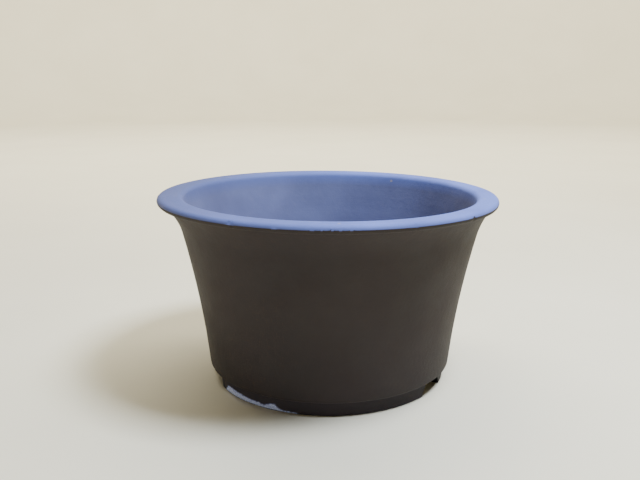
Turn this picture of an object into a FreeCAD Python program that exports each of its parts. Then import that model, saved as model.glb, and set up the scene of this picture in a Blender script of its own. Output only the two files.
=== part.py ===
"""Round unglazed bonsai pot: a flared clay wall with a flat everted lip, standing on a notched foot ring.

The pot is built from its clay members, which meet face to face at their luted seams, and from the mesh screen
and wire clip that close its drain hole. Lengths are millimetres. The origin is on the ground, on the pot's
axis. +Z is up, and the front is -Y. Azimuths are degrees from the front, positive towards +X.
"""

import FreeCAD
import Part

import math
import os

from FreeCAD import Vector

# Overall size
RIM_DIAMETER = 180.0
HEIGHT = 99.6

# Lip: a flat collar with a fully rounded outer edge
LIP_THICKNESS = 4.1
LIP_INNER_ROUND = 3.0

# Wall outline, from the foot up: a rounded heel edge, a convex tuck, a long hollow sweep, and a tight flare
WALL_THICKNESS = 5.6
HEEL_RADIUS = 64.8
HEEL_LEAN = math.radians(85)
HEEL_ROUND = 1.3
TUCK_BOTTOM_Z = 8.8
TUCK_ROUND = 75.4
SWEEP_BOTTOM_Z = 12.3
SWEEP_ROUND = 483.0
FLARE_BOTTOM_Z = 81.1
FLARE_ROUND = 33.9

# Floor
FLOOR_THICKNESS = 7
FLOOR_RADIUS = 51.8
FLOOR_FILLET = 6.0
DRAIN_RADIUS = 14.0
DRAIN_EDGE_ROUND = 1.2
WIRE_HOLE_RADIUS = 2.5
WIRE_HOLE_SPACING = 64.0

# Foot ring: three segments between arched drainage notches
FOOT_HEIGHT = 7.7
FOOT_RADIUS = 63.0
FOOT_WIDTH = 9.6
FOOT_EDGE_ROUND = 0.7
NOTCH_HALF_WIDTH = 10.2
NOTCH_HEIGHT = 8.2
NOTCH_AZIMUTHS = (58.5, 173.5, 288.5)
FOOT_AZIMUTHS = {"foot_front": 353.5, "foot_right": 116.0, "foot_left": 231.0}

# Drain screen: a square plastic mesh lying over the drain hole
SCREEN_CELLS = 13
SCREEN_PITCH = 3.0
SCREEN_BAR = 0.8
SCREEN_THICKNESS = 0.8

# Clip: one wire in a flat S over the screen, with two legs down the drain hole, turned out under the floor
WIRE_RADIUS = 0.75
CLIP_LEG_X = 9.0
CLIP_LEG_Y = 6.0
CLIP_LOOP_X = 13.0
CLIP_BEND_ROUND = 1.1
LOOP_EASE = 0.1
CLIP_TOE_LENGTH = 13.0
CLIP_CLEARANCE = 0.02

# Heights and radii that follow
RIM_RADIUS = RIM_DIAMETER / 2
LIP_BOTTOM_Z = HEIGHT - LIP_THICKNESS
FLOOR_TOP_Z = FOOT_HEIGHT + FLOOR_THICKNESS
SCREEN_TOP_Z = FLOOR_TOP_Z + SCREEN_THICKNESS

# Stretches of the wall outline, each a curvature (positive where it flares out) and the height it climbs to
HEEL = ((-1 / HEEL_ROUND, TUCK_BOTTOM_Z), (-1 / TUCK_ROUND, SWEEP_BOTTOM_Z))
WALL = ((1 / SWEEP_ROUND, FLARE_BOTTOM_Z), (1 / FLARE_ROUND, LIP_BOTTOM_Z))


class Outline:
    """Edges of half a cross-section, laid end to end in the XZ plane, where X is the distance from the axis."""

    def __init__(self, radius, height):
        self.edges = []
        self.start = (radius, height)
        self.end = self.start

    def line(self, radius, height):
        """Straight run to a point."""
        self.edges.append(Part.LineSegment(flat(self.end), flat((radius, height))).toShape())
        self.end = (radius, height)
        return self

    def arc(self, middle, end):
        """Arc through middle to end."""
        self.edges.append(Part.Arc(flat(self.end), flat(middle), flat(end)).toShape())
        self.end = end
        return self

    def revolved(self):
        """Closes the outline and turns it about the axis."""
        if math.dist(self.end, self.start) > 1e-9:
            self.line(*self.start)
        face = Part.Face(Part.Wire(self.edges))
        return face.revolve(Vector(0, 0, 0), Vector(0, 0, 1), 360)


def flat(point):
    """A (radius, height) pair as a vector in the XZ plane."""
    return Vector(point[0], 0, point[1])


def on_circle(centre, radius, angle):
    """The point of a circle at an angle from the outward horizontal."""
    return (centre[0] + radius * math.cos(angle), centre[1] + radius * math.sin(angle))


def bend(start, lean, curvature, top):
    """Arc that leaves start at lean from upright and climbs to the height top: its middle, end and end lean."""

    def at(angle):
        return (
            start[0] + (math.cos(lean) - math.cos(angle)) / curvature,
            start[1] + (math.sin(angle) - math.sin(lean)) / curvature,
        )

    last = math.asin(math.sin(lean) + curvature * (top - start[1]))
    return at((lean + last) / 2), at(last), last


def climb(stretches):
    """The wall outline's arcs from the heel's edge up, each a middle and an end point, and the lean at the top."""
    end = (HEEL_RADIUS, FOOT_HEIGHT)
    lean = HEEL_LEAN
    arcs = []
    for curvature, top in stretches:
        middle, end, lean = bend(end, lean, curvature, top)
        arcs.append((middle, end))
    return arcs, lean


def sweep_centre():
    """Centre of the wall's long hollow sweep, which the inner face shares."""
    arcs, lean = climb(HEEL)
    start = arcs[-1][1]
    return (start[0] + SWEEP_ROUND * math.cos(lean), start[1] - SWEEP_ROUND * math.sin(lean))


def inner_point(height, inset=0.0):
    """The point at a height on the wall's inner face, or on its parallel moved inset into the hollow."""
    centre = sweep_centre()
    reach = SWEEP_ROUND + WALL_THICKNESS + inset
    return (centre[0] - math.sqrt(reach**2 - (height - centre[1]) ** 2), height)


def towards_inner_face(point):
    """The point of the wall's inner face nearest to a point of the section."""
    centre = sweep_centre()
    share = (SWEEP_ROUND + WALL_THICKNESS) / math.dist(centre, point)
    return tuple(c + (p - c) * share for c, p in zip(centre, point))


def rim_lip():
    """Flat collar: rounded into the bowl on its inner side and bullnosed on its outer side."""
    edge_round = LIP_THICKNESS / 2
    inner_centre = inner_point(HEIGHT - LIP_INNER_ROUND, -LIP_INNER_ROUND)
    round_bottom = towards_inner_face(inner_centre)
    edge_centre = (RIM_RADIUS - edge_round, HEIGHT - edge_round)
    outline = Outline(*inner_point(LIP_BOTTOM_Z))
    outline.arc(inner_point((LIP_BOTTOM_Z + round_bottom[1]) / 2), round_bottom)
    outline.arc(on_circle(inner_centre, LIP_INNER_ROUND, math.radians(130)), (inner_centre[0], HEIGHT))
    outline.line(edge_centre[0], HEIGHT)
    outline.arc(on_circle(edge_centre, edge_round, 0), (edge_centre[0], LIP_BOTTOM_Z))
    return outline.revolved()


def body_wall():
    """Flared wall: heel, tuck, sweep and flare outside, one parallel sweep and a floor fillet inside."""
    outline = Outline(FLOOR_RADIUS, FOOT_HEIGHT)
    outline.line(HEEL_RADIUS, FOOT_HEIGHT)
    arcs, _ = climb(HEEL + WALL)
    for middle, end in arcs:
        outline.arc(middle, end)
    outline.line(*inner_point(LIP_BOTTOM_Z))
    fillet_centre = inner_point(FLOOR_TOP_Z + FLOOR_FILLET, FLOOR_FILLET)
    fillet_top = towards_inner_face(fillet_centre)
    outline.arc(inner_point((LIP_BOTTOM_Z + fillet_top[1]) / 2), fillet_top)
    fillet_middle = on_circle(fillet_centre, FLOOR_FILLET, math.radians(-45))
    outline.arc(fillet_middle, (fillet_centre[0], FLOOR_TOP_Z))
    outline.line(FLOOR_RADIUS, FLOOR_TOP_Z)
    return outline.revolved()


def floor_slab():
    """Disc floor with a round-edged drain hole on the axis and a wire hole on each side of it."""
    low = FOOT_HEIGHT + DRAIN_EDGE_ROUND
    high = FLOOR_TOP_Z - DRAIN_EDGE_ROUND
    edge_r = DRAIN_RADIUS + DRAIN_EDGE_ROUND
    outline = Outline(edge_r, FOOT_HEIGHT)
    outline.line(FLOOR_RADIUS, FOOT_HEIGHT).line(FLOOR_RADIUS, FLOOR_TOP_Z).line(edge_r, FLOOR_TOP_Z)
    outline.arc(on_circle((edge_r, high), DRAIN_EDGE_ROUND, math.radians(135)), (DRAIN_RADIUS, high))
    outline.line(DRAIN_RADIUS, low)
    outline.arc(on_circle((edge_r, low), DRAIN_EDGE_ROUND, math.radians(225)), outline.start)
    slab = outline.revolved()
    for side in (-1, 1):
        place = Vector(side * WIRE_HOLE_SPACING / 2, 0, FOOT_HEIGHT)
        slab = slab.cut(Part.makeCylinder(WIRE_HOLE_RADIUS, FLOOR_THICKNESS, place))
    return slab


def foot_ring():
    """Whole foot ring before it is notched, with its ground edges eased."""
    inner = FOOT_RADIUS - FOOT_WIDTH
    ease = FOOT_EDGE_ROUND
    outline = Outline(inner, FOOT_HEIGHT)
    outline.line(inner, ease)
    outline.arc(on_circle((inner + ease, ease), ease, math.radians(225)), (inner + ease, 0))
    outline.line(FOOT_RADIUS - ease, 0)
    outline.arc(on_circle((FOOT_RADIUS - ease, ease), ease, math.radians(-45)), (FOOT_RADIUS, ease))
    outline.line(FOOT_RADIUS, FOOT_HEIGHT)
    return outline.revolved()


def notch_cutter(azimuth):
    """Level cylinder along a radius. Its arch is the notch's half width at the ground and its height above."""
    radius = (NOTCH_HALF_WIDTH**2 + NOTCH_HEIGHT**2) / (2 * NOTCH_HEIGHT)
    outward = Vector(math.sin(math.radians(azimuth)), -math.cos(math.radians(azimuth)), 0)
    start = outward * (FOOT_RADIUS / 2) + Vector(0, 0, NOTCH_HEIGHT - radius)
    return Part.makeCylinder(radius, FOOT_RADIUS, start, outward)


def feet():
    """The foot segments by name: what the notches leave of the foot ring."""
    ring = foot_ring()
    for azimuth in NOTCH_AZIMUTHS:
        ring = ring.cut(notch_cutter(azimuth))
    named = {}
    for name, azimuth in FOOT_AZIMUTHS.items():
        middle = math.radians(azimuth)
        towards = Vector(math.sin(middle), -math.cos(middle), 0)
        named[name] = max(ring.Solids, key=lambda solid: solid.CenterOfMass.dot(towards))
    return named


def drain_screen():
    """Square mesh: a thin plate with a grid of square openings, one of them on the axis."""
    side = SCREEN_CELLS * SCREEN_PITCH + SCREEN_BAR
    corner = Vector(-side / 2, -side / 2, FLOOR_TOP_Z)
    plate = Part.makeBox(side, side, SCREEN_THICKNESS, corner)
    opening = SCREEN_PITCH - SCREEN_BAR
    first = SCREEN_BAR - side / 2
    cells = []
    for column in range(SCREEN_CELLS):
        for row in range(SCREEN_CELLS):
            place = Vector(first + column * SCREEN_PITCH, first + row * SCREEN_PITCH, FLOOR_TOP_Z)
            cells.append(Part.makeBox(opening, opening, SCREEN_THICKNESS, place))
    return plate.cut(Part.makeCompound(cells))


def rounded_path(points, radii):
    """Wire through points, each inner corner rounded to its radius by a tangent arc."""
    edges = []
    last = points[0]
    for before, corner, after, radius in zip(points, points[1:], points[2:], radii):
        back = (before - corner).normalize()
        ahead = (after - corner).normalize()
        half = back.getAngle(ahead) / 2
        reach = radius / math.tan(half)
        inward = (back + ahead).normalize()
        centre = corner + inward * (radius / math.sin(half))
        edges.append(Part.LineSegment(last, corner + back * reach).toShape())
        last = corner + ahead * reach
        edges.append(Part.Arc(corner + back * reach, centre - inward * radius, last).toShape())
    edges.append(Part.LineSegment(last, points[-1]).toShape())
    return Part.Wire(edges)


def screen_clip():
    """Round wire: a toe under the floor, a leg up the drain hole, half a flat S, and the same turned about."""
    top = SCREEN_TOP_Z + WIRE_RADIUS + CLIP_CLEARANCE
    toe = FOOT_HEIGHT - WIRE_RADIUS - CLIP_CLEARANCE
    leg = Vector(-CLIP_LEG_X, CLIP_LEG_Y, 0)
    out = Vector(leg).normalize() * CLIP_TOE_LENGTH
    loop_round = CLIP_LEG_Y / 2 - LOOP_EASE
    half = [
        leg + out + Vector(0, 0, toe),
        leg + Vector(0, 0, toe),
        leg + Vector(0, 0, top),
        Vector(-CLIP_LOOP_X - loop_round, CLIP_LEG_Y, top),
        Vector(-CLIP_LOOP_X - loop_round, 0, top),
    ]
    turned = [Vector(-p.x, -p.y, p.z) for p in reversed(half)]
    radii = [CLIP_BEND_ROUND, CLIP_BEND_ROUND, loop_round, loop_round]
    path = rounded_path(half + turned, radii + radii[::-1])
    start = path.Edges[0]
    section = Part.Wire(Part.makeCircle(WIRE_RADIUS, start.Vertexes[0].Point, start.tangentAt(0)))
    return path.makePipeShell([section], True, False)


def main():
    """Builds every member and writes one STEP file each."""
    members = {
        "rim_lip": rim_lip(),
        "body_wall": body_wall(),
        "floor_slab": floor_slab(),
        **feet(),
        "drain_screen": drain_screen(),
        "screen_clip": screen_clip(),
    }
    os.makedirs("parts", exist_ok=True)
    for name, shape in members.items():
        solid = shape.Solids[0]
        solid.exportStep(f"parts/{name}.step")
        print(f"{name}: valid {solid.isValid()}, volume {solid.Volume / 1000:.2f} cm3")


main()
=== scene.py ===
"""Looks of the round unglazed bonsai pot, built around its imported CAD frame. Lengths are metres.

The clay members are turned as fine meshes over the CAD members' own sizes, with the small
unevenness of a real pot: a warped rim, turning lines, pits, nicks and a crust of lime on the
front foot. Azimuths are radians from the front (-Y), positive towards +X.
"""

import math

import bpy
from mathutils import Matrix, Vector, noise


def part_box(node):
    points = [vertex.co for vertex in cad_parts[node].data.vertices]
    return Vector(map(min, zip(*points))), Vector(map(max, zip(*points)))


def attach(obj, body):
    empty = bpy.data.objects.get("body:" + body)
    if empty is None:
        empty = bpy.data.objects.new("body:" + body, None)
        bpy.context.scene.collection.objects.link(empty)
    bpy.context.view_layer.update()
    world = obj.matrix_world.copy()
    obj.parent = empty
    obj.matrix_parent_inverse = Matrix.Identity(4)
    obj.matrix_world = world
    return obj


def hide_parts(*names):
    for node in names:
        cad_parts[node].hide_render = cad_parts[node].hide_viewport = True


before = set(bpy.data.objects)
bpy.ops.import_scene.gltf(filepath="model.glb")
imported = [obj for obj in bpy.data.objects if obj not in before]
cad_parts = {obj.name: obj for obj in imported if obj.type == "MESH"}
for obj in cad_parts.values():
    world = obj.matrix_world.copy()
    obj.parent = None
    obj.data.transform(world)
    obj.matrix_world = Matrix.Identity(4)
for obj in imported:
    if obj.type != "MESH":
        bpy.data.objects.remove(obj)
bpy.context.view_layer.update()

MM = 0.001

# Sizes read from the frame
LIP_LOW, LIP_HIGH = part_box("rim_lip")
FLOOR_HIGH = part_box("floor_slab")[1]
FOOT_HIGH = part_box("foot_front")[1]
SCREEN_LOW, SCREEN_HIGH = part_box("drain_screen")
HEIGHT = LIP_HIGH.z
RIM_RADIUS = LIP_HIGH.x
LIP_BOTTOM = LIP_LOW.z
FLOOR_RADIUS = FLOOR_HIGH.x
FLOOR_TOP = FLOOR_HIGH.z
FOOT_HEIGHT = FOOT_HIGH.z

# Section of the clay, as in the CAD
LIP_INNER_ROUND = 3.0 * MM
LIP_ROUND_END = math.radians(163)
WALL_THICKNESS = 5.6 * MM
HEEL_RADIUS = 64.8 * MM
HEEL_LEAN = math.radians(85)
HEEL_ROUND = 1.3 * MM
TUCK_BOTTOM = 8.8 * MM
TUCK_ROUND = 75.4 * MM
SWEEP_BOTTOM = 12.3 * MM
SWEEP_ROUND = 483 * MM
FLARE_BOTTOM = 81.1 * MM
FLARE_ROUND = 33.9 * MM
FLOOR_FILLET = 6 * MM
FILLET_START = math.radians(6)
FILLET_GAP = 0.6 * MM
DRAIN_RADIUS = 14 * MM
DRAIN_EDGE_ROUND = 1.2 * MM
WIRE_HOLE_RADIUS = 2.5 * MM
WIRE_HOLE_X = 32 * MM
FOOT_RADIUS = 63.0 * MM
FOOT_WIDTH = 9.6 * MM
FOOT_EDGE_ROUND = 0.7 * MM
NOTCH_HALF_WIDTH = 10.2 * MM
NOTCH_HEIGHT = 8.2 * MM
NOTCHES = [math.radians(a) for a in (58.5, 173.5, 288.5)]
SCREEN_PITCH = 3 * MM

# Stretches of the wall's outline: each has a curvature, positive where it flares out, and the
# height it climbs to
HEEL = ((-1 / HEEL_ROUND, TUCK_BOTTOM), (-1 / TUCK_ROUND, SWEEP_BOTTOM))
WALL = ((1 / SWEEP_ROUND, FLARE_BOTTOM), (1 / FLARE_ROUND, LIP_BOTTOM))

# Hand-made unevenness
RIM_TILT = math.radians(0.5)
RIM_TILT_POWER = 3
WALL_SHIFT = 0.4 * MM
LIP_SHIFT = -1.1 * MM
LIP_SHIFT_REACH = 10 * MM
WALL_WAVE = 0.12 * MM
WAVE_SCALE = 18.0
TURNING_DEPTH = 0.04 * MM
TURNING_SCALE = 260.0
TURNING_NOISE_ROW = 7.3
CHIP_SCALE = 260.0
CHIP_DEPTH = 1.1 * MM
CHIP_RARITY = 0.42
CHIP_REACH = 2.2 * MM

# Fineness of the meshes
ROUND_STEPS = 480
LIP_STEPS = 960
PROFILE_STEP = 1.1 * MM
FOOT_STEP = 0.35 * MM
LEAST_ARC_STEPS = 6
SHARP_ANGLE = math.radians(35)

# Nicks in the lip's front edge: azimuth in degrees, half width, depth, and height above the
# lip's underside
NICKS = (
    (-28.6, 0.7 * MM, 0.70 * MM, 3.1 * MM),
    (-27.2, 0.6 * MM, 0.60 * MM, 2.6 * MM),
    (-4.2, 0.8 * MM, 0.50 * MM, 0.9 * MM),
    (-1.5, 0.6 * MM, 0.45 * MM, 0.7 * MM),
    (1.2, 1.1 * MM, 0.50 * MM, 0.8 * MM),
    (3.6, 0.6 * MM, 0.50 * MM, 1.0 * MM),
    (6.6, 0.9 * MM, 0.50 * MM, 0.8 * MM),
)

# Lime crust on the front foot: azimuth span, heights and thickness
LIME_FROM = math.radians(-58.8)
LIME_TO = math.radians(-13.7)
LIME_HEIGHT = 3.9 * MM
LIME_BOTTOM = 0.4 * MM
LIME_THICKNESS = 0.22 * MM

# The crust's upper edge, in shares of its height and of its span from left to right: a steep
# climb, a long fall, one hump, and ends that run down to nothing
LIME_START = 0.1
LIME_CLIMB = 14
LIME_FALL = 0.85
LIME_HUMP = 0.5
LIME_HUMP_AT = 0.725
LIME_HUMP_WIDTH = 0.055
LIME_LEFT_END = 20
LIME_RIGHT_END = 6

# Jags along the crust's upper edge: size, how closely they follow each other, noise row
LIME_JAGS = ((0.14, 40.0, 3.1), (0.07, 130.0, 1.7))

# Bit that cuts the wire holes
DRILL_SIDES = 48
DRILL_REACH = 8 * MM

# Bars of the drain screen: sides, steps from one crossing to the next, how abruptly a knot
# starts, and half sizes of the bar and what a knot adds, in shares of half the screen's thickness
BAR_SIDES = 10
BAR_STEPS = 8
KNOT_POWER = 8
BAR_ACROSS = 0.8
KNOT_ACROSS = 0.35
BAR_UPRIGHT = 0.85
KNOT_UPRIGHT = 0.15

# Camera, on the photo's side of the pot
CAMERA_DISTANCE = 390.5 * MM
CAMERA_HEIGHT = 162.5 * MM
CAMERA_PITCH = math.radians(12.886)
CAMERA_YAW = math.radians(-0.713)
CAMERA_ROLL = math.radians(-0.183)
CAMERA_LENS = 41.33
CAMERA_SENSOR = 36.0
CAMERA_CLIP_START = 0.01


# ---- Sections -------------------------------------------------------------------------------


def arc(centre, radius, start, end):
    """Points of an arc, about one profile step apart, from start to end angle."""
    count = max(LEAST_ARC_STEPS, round(abs(end - start) * radius / PROFILE_STEP))
    angles = [start + (end - start) * i / count for i in range(count + 1)]
    return [(centre[0] + radius * math.cos(a), centre[1] + radius * math.sin(a)) for a in angles]


def bend(start, lean, curvature, top):
    """Points of an arc from start, at lean from upright, up to top, and the lean at its end."""
    last = math.asin(math.sin(lean) + curvature * (top - start[1]))
    count = max(LEAST_ARC_STEPS, round(abs(last - lean) / abs(curvature) / PROFILE_STEP))
    points = []
    for i in range(count + 1):
        a = lean + (last - lean) * i / count
        radius = start[0] + (math.cos(lean) - math.cos(a)) / curvature
        points.append((radius, start[1] + (math.sin(a) - math.sin(lean)) / curvature))
    return points, last


def climb(stretches):
    """Points of the wall's outer outline from the heel's edge up, and the lean at the top."""
    points = [(HEEL_RADIUS, FOOT_HEIGHT)]
    lean = HEEL_LEAN
    for curvature, top in stretches:
        more, lean = bend(points[-1], lean, curvature, top)
        points += more[1:]
    return points, lean


def sweep_centre():
    """Centre of the wall's long sweep, which the inner face shares."""
    heel, lean = climb(HEEL)
    start = heel[-1]
    return (start[0] + SWEEP_ROUND * math.cos(lean), start[1] - SWEEP_ROUND * math.sin(lean))


def inner_radius(height, inset=0.0):
    """Radius of the wall's inner face at a height, or of its parallel inset into the hollow."""
    centre = sweep_centre()
    reach = SWEEP_ROUND + WALL_THICKNESS + inset
    return centre[0] - math.sqrt(reach**2 - (height - centre[1]) ** 2)


def inner_wall(low, high):
    """The inner face's outline between two heights, from the top down."""
    count = round((high - low) / PROFILE_STEP)
    heights = [high + (low - high) * i / count for i in range(count + 1)]
    return [(inner_radius(z), z) for z in heights]


def subdivided(a, b, step=PROFILE_STEP):
    """Points after a, up to b, about one step apart."""
    count = max(1, round(math.dist(a, b) / step))
    points = []
    for i in range(1, count + 1):
        points.append((a[0] + (b[0] - a[0]) * i / count, a[1] + (b[1] - a[1]) * i / count))
    return points


def lip_section():
    """Closed section of the lip, anticlockwise from its inner bottom corner."""
    edge = LIP_BOTTOM + (HEIGHT - LIP_BOTTOM) / 2
    half = (HEIGHT - LIP_BOTTOM) / 2
    inner_height = HEIGHT - LIP_INNER_ROUND
    inner_centre = (inner_radius(inner_height, -LIP_INNER_ROUND), inner_height)
    rounding = arc(inner_centre, LIP_INNER_ROUND, math.radians(90), LIP_ROUND_END)
    points = [(inner_radius(LIP_BOTTOM), LIP_BOTTOM)]
    points += subdivided(points[0], (climb(HEEL + WALL)[0][-1][0], LIP_BOTTOM))
    points += subdivided(points[-1], (RIM_RADIUS - half, LIP_BOTTOM))
    points += arc((RIM_RADIUS - half, edge), half, math.radians(-90), math.radians(90))[1:]
    points += subdivided(points[-1], (inner_centre[0], HEIGHT))
    points += rounding[1:]
    points += inner_wall(LIP_BOTTOM, rounding[-1][1])[1:-1]
    return points


def wall_section():
    """Closed section of the wall and heel, anticlockwise from the heel's inner bottom corner."""
    fillet_height = FLOOR_TOP + FLOOR_FILLET
    fillet = (inner_radius(fillet_height, FLOOR_FILLET), fillet_height)
    points = [(FLOOR_RADIUS, FOOT_HEIGHT)]
    points += subdivided(points[0], (HEEL_RADIUS, FOOT_HEIGHT))
    points += climb(HEEL + WALL)[0][1:]
    points += subdivided(points[-1], (inner_radius(LIP_BOTTOM), LIP_BOTTOM))
    points += inner_wall(fillet[1] + FILLET_GAP, LIP_BOTTOM)[1:]
    points += arc(fillet, FLOOR_FILLET, FILLET_START, math.radians(-90))
    points += subdivided(points[-1], (FLOOR_RADIUS, FLOOR_TOP))
    points += subdivided(points[-1], (FLOOR_RADIUS, FOOT_HEIGHT))[:-1]
    return points


# ---- Meshes ---------------------------------------------------------------------------------


def place(radius, azimuth, height):
    """Point of the pot at a radius, azimuth and height."""
    return Vector((radius * math.sin(azimuth), -radius * math.cos(azimuth), height))


def warp(point):
    """Unevenness of the clay: a rim that dips to the right, a waving wall and turning lines."""
    up = max(0.0, point.z / HEIGHT)
    outward = Vector((point.x, point.y, 0.0))
    overhang = max(0.0, (outward.length - RIM_RADIUS) / LIP_SHIFT_REACH + 1)
    wave = noise.noise(point * WAVE_SCALE) * WALL_WAVE * up
    row = Vector((0.0, TURNING_NOISE_ROW, point.z * TURNING_SCALE))
    ring = noise.noise(row) * TURNING_DEPTH
    dip = -point.x * math.tan(RIM_TILT) * up**RIM_TILT_POWER
    if outward.length > 0:
        outward.normalize()
    shift = Vector((WALL_SHIFT * up + LIP_SHIFT * overhang, 0.0, dip))
    return point + outward * (wave + ring) + shift


def mesh_object(name, vertices, faces):
    """Mesh object linked to the scene, smooth-shaded but for its sharp corners."""
    mesh = bpy.data.meshes.new(name)
    mesh.from_pydata([tuple(v) for v in vertices], [], faces)
    mesh.shade_smooth()
    mesh.set_sharp_from_angle(angle=SHARP_ANGLE)
    piece = bpy.data.objects.new(name, mesh)
    bpy.context.scene.collection.objects.link(piece)
    return piece


def turned(name, section, uneven=warp, steps=ROUND_STEPS):
    """Closed section turned once about the axis, with the unevenness of the clay."""
    vertices = []
    for i in range(steps):
        azimuth = 2 * math.pi * i / steps
        vertices += [uneven(place(r, azimuth, z)) for r, z in section]
    size = len(section)
    faces = []
    for i in range(steps):
        for k in range(size):
            a = i * size + k
            b = i * size + (k + 1) % size
            c = ((i + 1) % steps) * size + (k + 1) % size
            d = ((i + 1) % steps) * size + k
            faces.append((a, d, c, b))
    return mesh_object(name, vertices, faces)


def lip_wear(point):
    """Random pits and placed nicks along the lip's outer edge, over the clay's unevenness."""
    radius = math.hypot(point.x, point.y)
    edge = max(0.0, 1 - (RIM_RADIUS - radius) / CHIP_REACH)
    depth = max(0.0, noise.noise(point * CHIP_SCALE) - CHIP_RARITY) * CHIP_DEPTH
    azimuth = math.atan2(point.x, -point.y)
    for place_at, half_width, nick_depth, height in NICKS:
        across = (azimuth - math.radians(place_at)) * RIM_RADIUS / half_width
        along = (point.z - LIP_BOTTOM - height) / half_width
        depth += nick_depth * math.exp(-(across**2) - along**2)
    outward = Vector((point.x, point.y, 0.0)).normalized()
    return warp(point) - outward * depth * edge


def lime_top(azimuth):
    """Height of the lime crust's ragged upper edge on the front foot, under 0 beyond its ends."""
    along = (azimuth - LIME_FROM) / (LIME_TO - LIME_FROM)
    body = min(1.0, LIME_START + LIME_CLIMB * along) * (1 - LIME_FALL * along)
    hump = LIME_HUMP * math.exp(-(((along - LIME_HUMP_AT) / LIME_HUMP_WIDTH) ** 2))
    ragged = 0.0
    for size, scale, row in LIME_JAGS:
        ragged += size * noise.noise(Vector((azimuth * scale, 0.0, row)))
    ends = min(0.0, LIME_LEFT_END * along, LIME_RIGHT_END * (1 - along))
    return LIME_HEIGHT * (body + hump + ragged + ends)


def foot_section():
    """The foot's closed section in four parts: inner side, bottom, outer side and top."""
    inner = FOOT_RADIUS - FOOT_WIDTH
    ease = FOOT_EDGE_ROUND
    inside = [(inner, FOOT_HEIGHT)]
    inside += subdivided(inside[0], (inner, ease), FOOT_STEP)
    inside += arc((inner + ease, ease), ease, math.radians(180), math.radians(270))[1:]
    outside = [(inner + FOOT_RADIUS - r, z) for r, z in reversed(inside)]
    bottom = subdivided(inside[-1], outside[0])[:-1]
    top = subdivided(outside[-1], inside[0])[:-1]
    return inside, bottom, outside, top


def end_strips(inside, bottom, outside, top):
    """Strips that close a foot's end, one for each height, as places in its section."""
    last = len(inside) + len(bottom) + len(outside) - 1
    strips = []
    for k in range(len(inside) - 1):
        strip = [k, k + 1, last - k - 1, last - k]
        if k == len(inside) - 2:
            strip[2:2] = range(len(inside), len(inside) + len(bottom))
        if k == 0:
            strip += range(last + 1, last + 1 + len(top))
        strips.append(strip)
    return strips


def foot(name, first, last):
    """Foot segment between two notches. Its ends follow the notches' arches."""
    radius = (NOTCH_HALF_WIDTH**2 + NOTCH_HEIGHT**2) / (2 * NOTCH_HEIGHT)
    parts = foot_section()
    section = [point for part in parts for point in part]
    size = len(section)
    steps = round((last - first) / (2 * math.pi) * ROUND_STEPS)

    def end_azimuth(notch, side, r, z):
        """Azimuth where the notch's arch meets a point of the section."""
        half = math.sqrt(radius**2 - (z - NOTCH_HEIGHT + radius) ** 2)
        return notch + side * math.asin(half / r)

    vertices = []
    for i in range(steps + 1):
        for r, z in section:
            a = end_azimuth(first, 1, r, z)
            b = end_azimuth(last, -1, r, z)
            vertices.append(warp(place(r, a + (b - a) * i / steps, z)))
    faces = []
    for i in range(steps):
        for k in range(size):
            a = i * size + k
            b = i * size + (k + 1) % size
            faces.append((a, a + size, b + size, b))
    for strip in end_strips(*parts):
        faces.append(tuple(strip))
        faces.append(tuple(steps * size + k for k in reversed(strip)))
    piece = mesh_object(name, vertices, faces)
    # Marks the foot's two end sections for painted shade, near black, standing in for the shadow
    # inside the notches
    shade = piece.data.attributes.new("painted_end_shade", "FLOAT", "POINT")
    for i in range(size):
        shade.data[i].value = 1.0
        shade.data[steps * size + i].value = 1.0
    return piece


def floor_slab():
    """Disc floor with its round-edged drain hole, and the two wire holes cut through."""
    edge_r = DRAIN_RADIUS + DRAIN_EDGE_ROUND
    low = FOOT_HEIGHT + DRAIN_EDGE_ROUND
    high = FLOOR_TOP - DRAIN_EDGE_ROUND
    section = [(edge_r, FOOT_HEIGHT)]
    section += subdivided(section[-1], (FLOOR_RADIUS, FOOT_HEIGHT))
    section += subdivided(section[-1], (FLOOR_RADIUS, FLOOR_TOP))
    section += subdivided(section[-1], (edge_r, FLOOR_TOP))
    section += arc((edge_r, high), DRAIN_EDGE_ROUND, math.radians(90), math.radians(180))[1:]
    section += subdivided(section[-1], (DRAIN_RADIUS, low))
    section += arc((edge_r, low), DRAIN_EDGE_ROUND, math.radians(180), math.radians(270))[1:-1]
    slab = turned("floor_slab_clay", section)
    for side in (-1, 1):
        drill = drill_bit(Vector((side * WIRE_HOLE_X, 0.0, (FOOT_HEIGHT + FLOOR_TOP) / 2)))
        cut = slab.modifiers.new("wire_hole", "BOOLEAN")
        cut.object = drill
        cut.solver = "EXACT"
        apply_modifiers(slab)
        bpy.data.objects.remove(drill)
    slab.data.set_sharp_from_angle(angle=SHARP_ANGLE)
    return slab


def drill_bit(centre):
    """Upright round bar that cuts a wire hole."""
    vertices = []
    for end in (-1, 1):
        for i in range(DRILL_SIDES):
            a = 2 * math.pi * i / DRILL_SIDES
            offset = Vector((math.cos(a), math.sin(a), 0.0)) * WIRE_HOLE_RADIUS
            vertices.append(centre + offset + Vector((0.0, 0.0, end * DRILL_REACH)))
    faces = []
    for i in range(DRILL_SIDES):
        following = (i + 1) % DRILL_SIDES
        faces.append((i, following, DRILL_SIDES + following, DRILL_SIDES + i))
    faces.append(tuple(reversed(range(DRILL_SIDES))))
    faces.append(tuple(range(DRILL_SIDES, 2 * DRILL_SIDES)))
    return mesh_object("drill", vertices, faces)


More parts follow.
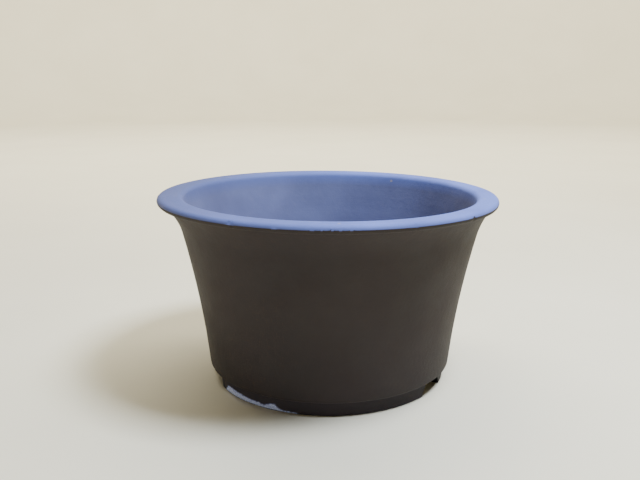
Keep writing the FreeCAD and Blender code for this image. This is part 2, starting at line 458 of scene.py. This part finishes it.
def strand(along, offset, start, stop, level):
    """One round bar of the screen, along axis 0 or 1, thicker where other bars cross it."""
    vertices = []
    steps = round((stop - start) / SCREEN_PITCH) * BAR_STEPS
    thick = (SCREEN_HIGH.z - SCREEN_LOW.z) / 2
    for i in range(steps + 1):
        at = start + (stop - start) * i / steps
        knot = 0.0
        if i % BAR_STEPS in (0, 1, BAR_STEPS - 1):
            knot = math.cos(2 * math.pi * (at - start) / SCREEN_PITCH) ** KNOT_POWER
        for k in range(BAR_SIDES):
            a = 2 * math.pi * k / BAR_SIDES
            side = offset + thick * (BAR_ACROSS + KNOT_ACROSS * knot) * math.cos(a)
            point = Vector((side, at, level)) if along else Vector((at, side, level))
            upright = thick * (BAR_UPRIGHT + KNOT_UPRIGHT * knot) * math.sin(a)
            vertices.append(point + Vector((0.0, 0.0, upright)))
    faces = []
    for i in range(steps):
        for k in range(BAR_SIDES):
            a = i * BAR_SIDES + k
            b = i * BAR_SIDES + (k + 1) % BAR_SIDES
            quad = (a, b, b + BAR_SIDES, a + BAR_SIDES)
            faces.append(tuple(reversed(quad)) if along else quad)
    first = tuple(range(BAR_SIDES))
    last = tuple(range(steps * BAR_SIDES, (steps + 1) * BAR_SIDES))
    faces.append(first if along else tuple(reversed(first)))
    faces.append(tuple(reversed(last)) if along else last)
    return vertices, faces


def drain_screen():
    """Square plastic mesh of crossing round bars, cut across between two knots."""
    level = (SCREEN_LOW.z + SCREEN_HIGH.z) / 2
    half = (SCREEN_HIGH.x - SCREEN_LOW.x) / 2 - (SCREEN_HIGH.z - SCREEN_LOW.z) / 2
    count = round(2 * half / SCREEN_PITCH)
    vertices = []
    faces = []
    for along in (0, 1):
        for i in range(count + 1):
            more, quads = strand(along, -half + 2 * half * i / count, -half, half, level)
            faces += [tuple(len(vertices) + k for k in face) for face in quads]
            vertices += more
    return mesh_object("drain_screen_mesh", vertices, faces)


def apply_modifiers(piece):
    """Replaces a piece's mesh by the mesh its modifiers make."""
    bpy.context.view_layer.update()
    graph = bpy.context.evaluated_depsgraph_get()
    mesh = bpy.data.meshes.new_from_object(piece.evaluated_get(graph))
    piece.modifiers.clear()
    piece.data = mesh


# ---- Materials ------------------------------------------------------------------------------


class Nodes:
    """A material's node tree, with short calls for the nodes this scene uses."""

    def __init__(self, name):
        self.material = bpy.data.materials.new(name)
        self.material.use_nodes = True
        self.tree = self.material.node_tree
        self.shader = self.tree.nodes["Principled BSDF"]
        self.object_coordinates = self.add("ShaderNodeTexCoord").outputs["Object"]

    def add(self, kind, **settings):
        """New node with its properties set."""
        node = self.tree.nodes.new(kind)
        for key, value in settings.items():
            setattr(node, key, value)
        return node

    def link(self, source, target):
        """Joins an output to an input."""
        self.tree.links.new(source, target)

    def stretched(self, scale):
        """Object coordinates scaled along each axis."""
        mapping = self.add("ShaderNodeMapping")
        mapping.inputs["Scale"].default_value = scale
        self.link(self.object_coordinates, mapping.inputs["Vector"])
        return mapping.outputs["Vector"]

    def noise(self, scale, detail=4.0, roughness=0.55, vector=None):
        """Noise texture's value."""
        node = self.add("ShaderNodeTexNoise")
        node.inputs["Scale"].default_value = scale
        node.inputs["Detail"].default_value = detail
        node.inputs["Roughness"].default_value = roughness
        self.link(vector or self.object_coordinates, node.inputs["Vector"])
        return node.outputs["Fac"]

    def ranged(self, value, low, high, to_low=0.0, to_high=1.0):
        """A value mapped from one range to another, and held there."""
        node = self.add("ShaderNodeMapRange")
        ends = {"From Min": low, "From Max": high, "To Min": to_low, "To Max": to_high}
        for key, number in ends.items():
            node.inputs[key].default_value = number
        self.link(value, node.inputs["Value"])
        return node.outputs["Result"]

    def math(self, operation, a, b):
        """One sum or product. Numbers and outputs both serve as a and b."""
        node = self.add("ShaderNodeMath", operation=operation)
        for socket, value in zip(node.inputs, (a, b)):
            if isinstance(value, (int, float)):
                socket.default_value = value
            else:
                self.link(value, socket)
        return node.outputs["Value"]

    def mix(self, share, first, second):
        """Colour between two colours. Each is a triple or an output."""
        node = self.add("ShaderNodeMix", data_type="RGBA")
        self.link(share, node.inputs["Factor"])
        for key, colour in ((6, first), (7, second)):
            if isinstance(colour, tuple):
                node.inputs[key].default_value = (*colour, 1.0)
            else:
                self.link(colour, node.inputs[key])
        return node.outputs[2]

    def bump(self, height, distance, strength=1.0, under=None):
        """Bump of a height in metres, over another bump's normal."""
        node = self.add("ShaderNodeBump")
        node.inputs["Distance"].default_value = distance
        node.inputs["Strength"].default_value = strength
        self.link(height, node.inputs["Height"])
        if under is not None:
            self.link(under, node.inputs["Normal"])
        return node.outputs["Normal"]


# Clay: colours, with painted shade low on the wall, under down-facing clay and at the foot's ends
CLAY_DARK = (0.0205, 0.0147, 0.0155)
CLAY_LIGHT = (0.0300, 0.0218, 0.0212)
CLAY_FLASH = (0.0285, 0.0190, 0.0220)
CLAY_PALE = (0.30, 0.27, 0.26)
FOOT_DARK = (0.0205, 0.0165, 0.0245)
FOOT_LIGHT = (0.0280, 0.0235, 0.0335)
# Painted shade: colour the wall darkens to towards the heel, standing in for less light low down
CLAY_PAINTED_SHADE = (0.008, 0.0055, 0.0065)
PAINTED_SHADE_TOP = 55 * MM
PAINTED_SHADE_BOTTOM = 8 * MM
PAINTED_SHADE_SHARE = 0.45
# Painted shade: near black under down-facing clay and at the foot's ends, standing in for the
# shadow under the pot
PAINTED_RECESS_SHADE = (0.004, 0.0035, 0.0035)
DOWNWARD_PAINTED_SHADE = (-0.80, -0.97)

# Painted skylight: pale blue colour painted where the clay faces up, standing in for the cool
# light from above
LIP_SKYLIGHT_FAINT = (0.070, 0.088, 0.215)
LIP_SKYLIGHT_DEEP = (0.102, 0.144, 0.425)
LIP_SKYLIGHT_PALE = (0.130, 0.185, 0.540)
LIP_EVEN_X = 15 * MM
LIP_SKYLIGHT_BOTTOM = 92 * MM
LIP_SKYLIGHT_TOP = 99.4 * MM
INSIDE_SKYLIGHT_DEEP = (0.103, 0.114, 0.225)
INSIDE_SKYLIGHT_PALE = (0.137, 0.153, 0.300)
SKYLIGHT_FACING = (0.02, 0.16)

# Lime
LIME_PALE = (0.62, 0.71, 0.99)
LIME_GREY = (0.36, 0.42, 0.72)
LIME_JAG_SHARE = 0.8
LIME_EDGE_WIDTH = 0.12
LIME_ROUGHNESS = 0.9

# Clay: gloss
CLAY_ROUGHNESS = 0.72
CLAY_ROUGHNESS_SPREAD = 0.05
CLAY_IOR = 1.38

# Clay: noise textures, each a scale, a detail and perhaps a roughness
CLOUDS = (14.0, 5.0)
SKYLIGHT_PATCHES = (22.0, 5.0)
FLASHES = (7.0, 3.0)
GROG = (1500.0, 3.0, 0.7)
SPECK_CHOICE = (60.0, 0.0)
TURNING_LINES = (1.0, 6.0, 0.6)
TURNING_STRETCH = (4.0, 4.0, 1100.0)
GRAIN = (420.0, 6.0, 0.65)
GLOSS = (55.0, 4.0)
LIME_JAG = (900.0, 4.0, 0.7)
LIME_PORES = (1300.0, 4.0, 0.7)

# Clay: the stretch of each texture's values that is used, and what it is mapped to if not 0 to 1
CLOUD_SPAN = (0.35, 0.65)
FLASH_SPAN = (0.52, 0.95)
GROG_SPAN = (0.60, 0.72, 0.0, 0.35)
SPECK_SPAN = (0.05, 0.09, 1.0, 0.0)
SPECK_CHOICE_SPAN = (0.62, 0.66)
GLOSS_SPAN = (0.3, 0.7)
LIME_PORE_SPAN = (0.42, 0.62)
SPECK_SCALE = 90.0

# Clay: bumps, each a depth in metres and a strength
TURNING_BUMP = (0.00006, 0.6)
GRAIN_BUMP = (0.00018, 0.8)
GROG_BUMP = (0.00005, 0.8)
LIME_BUMP = (0.0003, 0.8)

# Screen, clip and stage floor: noise, span and colours from low to high, then gloss and bump
SCREEN_DUST = (240.0, 5.0)
SCREEN_DUST_SPAN = (0.45, 0.7)
SCREEN_COLOURS = ((0.012, 0.013, 0.012), (0.05, 0.048, 0.043))
SCREEN_ROUGHNESS = (0.38, 0.62)
SCREEN_GRAIN = (1800.0, 4.0)
SCREEN_BUMP = (0.00004, 0.6)
WIRE_WEAR = (500.0, 5.0)
WIRE_WEAR_SPAN = (0.5, 0.75)
WIRE_COLOURS = ((0.15, 0.075, 0.045), (0.34, 0.22, 0.15))
WIRE_ROUGHNESS = (0.3, 0.42)
WIRE_MARKS = (2500.0, 3.0)
WIRE_BUMP = (0.00002, 0.5)
FLOOR_MOTTLE = (6.0, 4.0)
FLOOR_MOTTLE_SPAN = (0.3, 0.7)
FLOOR_COLOURS = ((0.80, 0.74, 0.58), (0.84, 0.78, 0.62))
FLOOR_ROUGHNESS = 0.75


def painted_skylight_colour(n, place_in):
    """Painted skylight on up-facing clay: greyer inside than on the lip, and fainter towards the
    lip's left side, away from the light.
    """
    patches = n.ranged(n.noise(*SKYLIGHT_PATCHES), *CLOUD_SPAN)
    inside = n.mix(patches, INSIDE_SKYLIGHT_DEEP, INSIDE_SKYLIGHT_PALE)
    # Painted fall-off of the skylight towards the lip's left side, away from the light
    skylight_falloff = n.ranged(place_in.outputs["X"], -RIM_RADIUS, LIP_EVEN_X)
    lip = n.mix(skylight_falloff, LIP_SKYLIGHT_FAINT, n.mix(patches, LIP_SKYLIGHT_DEEP, LIP_SKYLIGHT_PALE))
    raised = n.ranged(place_in.outputs["Z"], LIP_SKYLIGHT_BOTTOM, LIP_SKYLIGHT_TOP)
    return n.mix(raised, inside, lip)


def body_colour(n, body, place_in, grog):
    """Purple-brown clay between two colours: kiln clouds, flashes, grog and painted shade that
    darkens it towards the heel.
    """
    colour = n.mix(n.ranged(n.noise(*CLOUDS), *CLOUD_SPAN), *body)
    # Painted shade: the clay darkened towards the heel, standing in for less light low down
    low_painted_shade = n.ranged(place_in.outputs["Z"], PAINTED_SHADE_TOP, PAINTED_SHADE_BOTTOM, 0.0, PAINTED_SHADE_SHARE)
    colour = n.mix(low_painted_shade, colour, CLAY_PAINTED_SHADE)
    colour = n.mix(n.ranged(n.noise(*FLASHES), *FLASH_SPAN), colour, CLAY_FLASH)
    return n.mix(n.ranged(grog, *GROG_SPAN), colour, CLAY_DARK)


def facing_colour(n, colour, place_in):
    """Painted skylight where the clay faces up; painted shade, near black, where it faces down and
    at the foot's ends.
    """
    facing = n.add("ShaderNodeSeparateXYZ")
    n.link(n.add("ShaderNodeNewGeometry").outputs["Normal"], facing.inputs["Vector"])
    # Painted skylight: pale blue colour on up-facing clay, standing in for the cool light from
    # above
    upward = n.ranged(facing.outputs["Z"], *SKYLIGHT_FACING)
    colour = n.mix(upward, colour, painted_skylight_colour(n, place_in))
    # Painted shade: near black where the clay faces down and at the foot's ends, standing in for
    # the shadow under the pot
    painted_end_shade = n.add("ShaderNodeAttribute", attribute_name="painted_end_shade").outputs["Fac"]
    downward_shade = n.ranged(facing.outputs["Z"], *DOWNWARD_PAINTED_SHADE)
    return n.mix(n.math("MAXIMUM", painted_end_shade, downward_shade), colour, PAINTED_RECESS_SHADE)


def specked(n, colour, share):
    """Scattered pale specks over a colour."""
    dots = n.add("ShaderNodeTexVoronoi")
    dots.inputs["Scale"].default_value = SPECK_SCALE
    n.link(n.object_coordinates, dots.inputs["Vector"])
    near = n.ranged(dots.outputs["Distance"], *SPECK_SPAN)
    chosen = n.ranged(n.noise(*SPECK_CHOICE), *SPECK_CHOICE_SPAN)
    return n.mix(n.math("MULTIPLY", n.math("MULTIPLY", near, chosen), share), colour, CLAY_PALE)


def limed(n, colour, normal, roughness):
    """Lime crust over a colour, a normal and a roughness, where the mesh says that it lies."""
    field = n.add("ShaderNodeAttribute", attribute_name="lime_depth").outputs["Fac"]
    jags = n.math("MULTIPLY", n.math("SUBTRACT", n.noise(*LIME_JAG), 0.5), LIME_JAG_SHARE)
    crust = n.ranged(n.math("ADD", field, jags), 0.0, LIME_EDGE_WIDTH)
    pores = n.ranged(n.noise(*LIME_PORES), *LIME_PORE_SPAN)
    colour = n.mix(crust, colour, n.mix(pores, LIME_GREY, LIME_PALE))
    normal = n.bump(n.math("MULTIPLY", crust, pores), *LIME_BUMP, normal)
    roughness = n.math("MAXIMUM", roughness, n.math("MULTIPLY", crust, LIME_ROUGHNESS))
    return colour, normal, roughness


def clay(name, turning=1.0, specks=0.0, lime=False, body=(CLAY_DARK, CLAY_LIGHT)):
    """Matte purple-brown stoneware with level turning lines and painted pale blue skylight above.
    """
    n = Nodes(name)
    place_in = n.add("ShaderNodeSeparateXYZ")
    n.link(n.object_coordinates, place_in.inputs["Vector"])
    grog = n.noise(*GROG)
    colour = facing_colour(n, body_colour(n, body, place_in, grog), place_in)
    if specks:
        colour = specked(n, colour, specks)
    lines = n.noise(*TURNING_LINES, n.stretched(TURNING_STRETCH))
    depth, strength = TURNING_BUMP
    normal = n.bump(lines, depth * turning, strength)
    normal = n.bump(n.noise(*GRAIN), *GRAIN_BUMP, normal)
    normal = n.bump(grog, *GROG_BUMP, normal)
    low = CLAY_ROUGHNESS - CLAY_ROUGHNESS_SPREAD
    high = CLAY_ROUGHNESS + CLAY_ROUGHNESS_SPREAD
    roughness = n.ranged(n.noise(*GLOSS), *GLOSS_SPAN, low, high)
    if lime:
        colour, normal, roughness = limed(n, colour, normal, roughness)
    n.link(colour, n.shader.inputs["Base Color"])
    n.link(roughness, n.shader.inputs["Roughness"])
    n.link(normal, n.shader.inputs["Normal"])
    n.shader.inputs["IOR"].default_value = CLAY_IOR
    return n.material


def screen_plastic():
    """Black polythene mesh, dulled by handling."""
    n = Nodes("screen_plastic")
    dust = n.ranged(n.noise(*SCREEN_DUST), *SCREEN_DUST_SPAN)
    n.link(n.mix(dust, *SCREEN_COLOURS), n.shader.inputs["Base Color"])
    n.link(n.ranged(dust, 0.0, 1.0, *SCREEN_ROUGHNESS), n.shader.inputs["Roughness"])
    n.link(n.bump(n.noise(*SCREEN_GRAIN), *SCREEN_BUMP), n.shader.inputs["Normal"])
    return n.material


def clip_wire():
    """Brown anodised soft aluminium wire with fine drawing marks."""
    n = Nodes("clip_wire")
    wear = n.ranged(n.noise(*WIRE_WEAR), *WIRE_WEAR_SPAN)
    n.link(n.mix(wear, *WIRE_COLOURS), n.shader.inputs["Base Color"])
    n.link(n.ranged(wear, 0.0, 1.0, *WIRE_ROUGHNESS), n.shader.inputs["Roughness"])
    n.link(n.bump(n.noise(*WIRE_MARKS), *WIRE_BUMP), n.shader.inputs["Normal"])
    n.shader.inputs["Metallic"].default_value = 1.0
    return n.material


def floor_paint():
    """Plain pale studio floor with the faintest mottle."""
    n = Nodes("floor_paint")
    mottle = n.ranged(n.noise(*FLOOR_MOTTLE), *FLOOR_MOTTLE_SPAN)
    n.link(n.mix(mottle, *FLOOR_COLOURS), n.shader.inputs["Base Color"])
    n.shader.inputs["Roughness"].default_value = FLOOR_ROUGHNESS
    return n.material


# ---- Stage ----------------------------------------------------------------------------------


# Stage floor: radii of its level rings, then the bend at its edge and the wall above that
STAGE_RINGS = (0.15, 0.5)
STAGE_RADIUS = 2.2
STAGE_BEND = 0.6
STAGE_BEND_STEPS = 12
STAGE_HEIGHT = 1.3
STAGE_STEPS = 96

# Area lights: name, place, aim, width and height, watts and colour
AREA_LIGHTS = (
    ("overhead", (0.27, -0.14, 0.70), (0.0, 0.0, 0.08), (0.20, 0.20), 11.3, (0.78, 0.87, 1.0)),
    ("side_fill", (-0.8, -0.55, 0.06), (0.0, 0.0, 0.05), (0.6, 0.10), 2.0, (1.0, 0.95, 0.92)),
    ("backdrop_wash", (0.0, 0.7, 1.6), (0.0, 2.2, 0.2), (2.4, 0.6), 108.0, (1.0, 0.97, 0.84)),
)
SURROUND_COLOUR = (1.0, 0.96, 0.88, 1.0)
SURROUND_STRENGTH = 0.05


def studio_floor():
    """Level pale round floor that sweeps up on every side as a backdrop."""
    outline = [(r, 0.0) for r in (*STAGE_RINGS, STAGE_RADIUS)]
    for i in range(1, STAGE_BEND_STEPS + 1):
        a = math.radians(90) * i / STAGE_BEND_STEPS
        reach = STAGE_RADIUS + STAGE_BEND * math.sin(a)
        outline.append((reach, STAGE_BEND * (1 - math.cos(a))))
    outline.append((STAGE_RADIUS + STAGE_BEND, STAGE_HEIGHT))
    vertices = []
    for i in range(STAGE_STEPS):
        azimuth = 2 * math.pi * i / STAGE_STEPS
        vertices += [place(r, azimuth, z) for r, z in outline]
    centre = len(vertices)
    vertices.append(Vector((0.0, 0.0, 0.0)))
    size = len(outline)
    faces = []
    for i in range(STAGE_STEPS):
        this = i * size
        following = ((i + 1) % STAGE_STEPS) * size
        faces.append((centre, this, following))
        for k in range(size - 1):
            faces.append((this + k, this + k + 1, following + k + 1, following + k))
    sheet = mesh_object("studio_floor", vertices, faces)
    sheet.data.materials.append(floor_paint())


def area_light(name, place_at, aim, size, power, colour):
    """Soft rectangular light that faces a point."""
    data = bpy.data.lights.new(name, "AREA")
    data.shape = "RECTANGLE"
    data.size, data.size_y = size
    data.energy = power
    data.color = colour
    light = bpy.data.objects.new(name, data)
    light.location = place_at
    ahead = Vector(aim) - Vector(place_at)
    light.rotation_euler = ahead.to_track_quat("-Z", "Y").to_euler()
    bpy.context.scene.collection.objects.link(light)


def lights():
    """A cool softbox above, a dim fill, a wash on the backdrop and a faint pale surround."""
    for light in AREA_LIGHTS:
        area_light(*light)
    world = bpy.data.worlds.new("surround")
    world.use_nodes = True
    background = world.node_tree.nodes["Background"]
    background.inputs["Color"].default_value = SURROUND_COLOUR
    background.inputs["Strength"].default_value = SURROUND_STRENGTH
    bpy.context.scene.world = world


def camera():
    """The photographer's view: in front of the pot, a little above its rim."""
    data = bpy.data.cameras.new("camera")
    data.sensor_width = CAMERA_SENSOR
    data.lens = CAMERA_LENS
    data.clip_start = CAMERA_CLIP_START
    view = bpy.data.objects.new("camera", data)
    across = Vector((math.cos(CAMERA_YAW), -math.sin(CAMERA_YAW), 0.0))
    ahead = Vector(
        (
            math.sin(CAMERA_YAW) * math.cos(CAMERA_PITCH),
            math.cos(CAMERA_YAW) * math.cos(CAMERA_PITCH),
            -math.sin(CAMERA_PITCH),
        )
    )
    upward = across.cross(ahead)
    right = math.cos(CAMERA_ROLL) * across + math.sin(CAMERA_ROLL) * upward
    top = math.cos(CAMERA_ROLL) * upward - math.sin(CAMERA_ROLL) * across
    turn = Matrix((right, top, -ahead)).transposed().to_4x4()
    view.matrix_world = Matrix.Translation((0.0, -CAMERA_DISTANCE, CAMERA_HEIGHT)) @ turn
    bpy.context.scene.collection.objects.link(view)
    bpy.context.scene.camera = view


# ---- Assembly -------------------------------------------------------------------------------


def finished(piece, node, material):
    """Gives a piece its material and its ride, and hides the CAD node it stands in for."""
    piece.data.materials.clear()
    piece.data.materials.append(material)
    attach(piece, "root")
    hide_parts(node)


def lime_on(piece):
    """Stores how deep in the crust each point of the foot's face lies, and swells it there."""
    mesh = piece.data
    depth = mesh.attributes.new("lime_depth", "FLOAT", "POINT")
    for vertex, item in zip(mesh.vertices, depth.data):
        point = vertex.co
        below_top = (lime_top(math.atan2(point.x, -point.y)) - point.z) / MM
        above_ground = (point.z - LIME_BOTTOM) / MM
        outer = 1.0 if math.hypot(point.x, point.y) > FOOT_RADIUS - FOOT_WIDTH / 2 else -1.0
        item.value = min(below_top, above_ground, outer)
        if item.value > 0:
            swell = min(1.0, 2 * item.value) * LIME_THICKNESS
            vertex.co += Vector((point.x, point.y, 0.0)).normalized() * swell


def build():
    """Makes every clay member, finishes the fittings, and sets the stage."""
    lip = turned("rim_lip_clay", lip_section(), lip_wear, LIP_STEPS)
    finished(lip, "rim_lip", clay("lip_clay", turning=0.6, specks=0.8))
    wall = turned("body_wall_clay", wall_section())
    finished(wall, "body_wall", clay("wall_clay"))
    finished(floor_slab(), "floor_slab", clay("floor_clay", turning=0.4))
    right, rear, left = NOTCHES
    front = foot("foot_front_clay", left - 2 * math.pi, right)
    lime_on(front)
    foot_body = (FOOT_DARK, FOOT_LIGHT)
    front_clay = clay("foot_front_clay", turning=0.8, lime=True, body=foot_body)
    finished(front, "foot_front", front_clay)
    for name, first, last in (("foot_right", right, rear), ("foot_left", rear, left)):
        segment = foot(name + "_clay", first, last)
        finished(segment, name, clay(name + "_clay", turning=0.8, body=foot_body))
    finished(drain_screen(), "drain_screen", screen_plastic())
    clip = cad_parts["screen_clip"].data
    clip.materials.clear()
    clip.materials.append(clip_wire())
    studio_floor()
    lights()
    camera()


build()
